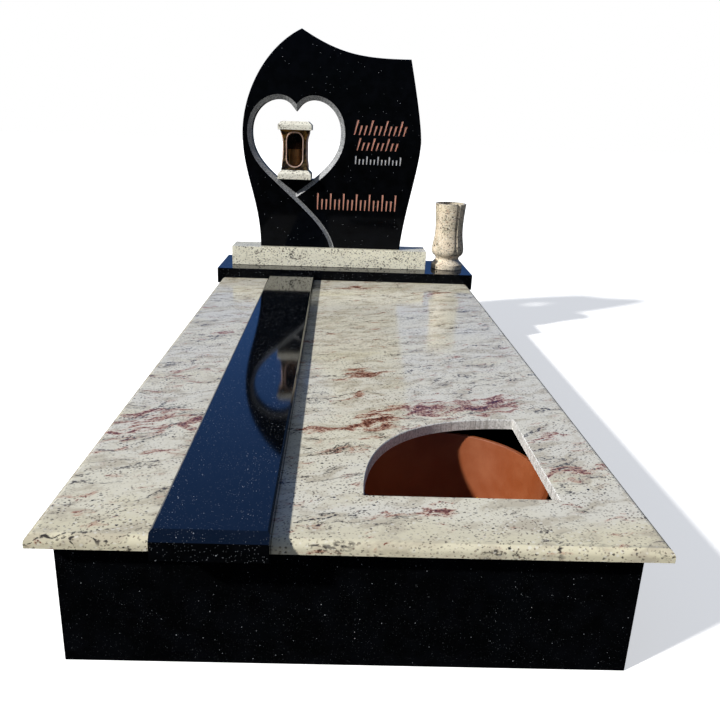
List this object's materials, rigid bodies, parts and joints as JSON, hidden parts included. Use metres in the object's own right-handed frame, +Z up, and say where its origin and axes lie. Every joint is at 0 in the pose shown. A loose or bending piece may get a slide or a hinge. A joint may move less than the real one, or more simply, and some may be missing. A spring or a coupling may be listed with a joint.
{
  "type": "granite grave monument",
  "caption": "Ledger grave monument: black kerb, cream cover slabs with a raised strip and planting cut-out, headstone pierced by a heart holding a lantern, and a vase.",
  "frame": {"origin": "on the ground, under the middle of the whole monument's bounding box", "axes": "+X to the viewer's right, +Y from the foot of the grave to the headstone, +Z up"},
  "size_m": [0.932, 1.992, 1.0852],
  "materials": {
    "black_granite": "polished black granite with fine bright specks; the heart's bevel and tail groove are ground matte grey",
    "cream_granite": "polished cream granite with dark specks and burgundy veins",
    "bronze": "dark patinated bronze, brighter pinkish gold on the window frames",
    "smoked_glass": "dark amber, glossy",
    "candle_cup": "brownish red, satin",
    "terracotta": "terracotta-coloured, satin"
  },
  "bodies": {
    "root": {"kerb_front": "black_granite", "kerb_left": "black_granite", "kerb_right": "black_granite", "kerb_cross": "black_granite", "kerb_back": "black_granite", "cover_left": "cream_granite", "cover_right": "cream_granite", "cover_strip": "black_granite", "plinth": "black_granite", "socle": "cream_granite", "headstone": "black_granite", "lantern_foot": "cream_granite", "lantern_body": "bronze", "lantern_pane_front": "smoked_glass", "lantern_pane_right": "smoked_glass", "lantern_pane_back": "smoked_glass", "lantern_pane_left": "smoked_glass", "lantern_candle": "candle_cup", "lantern_cap": "cream_granite", "vase": "cream_granite", "planter_tub": "terracotta"}
  },
  "joints": []
}
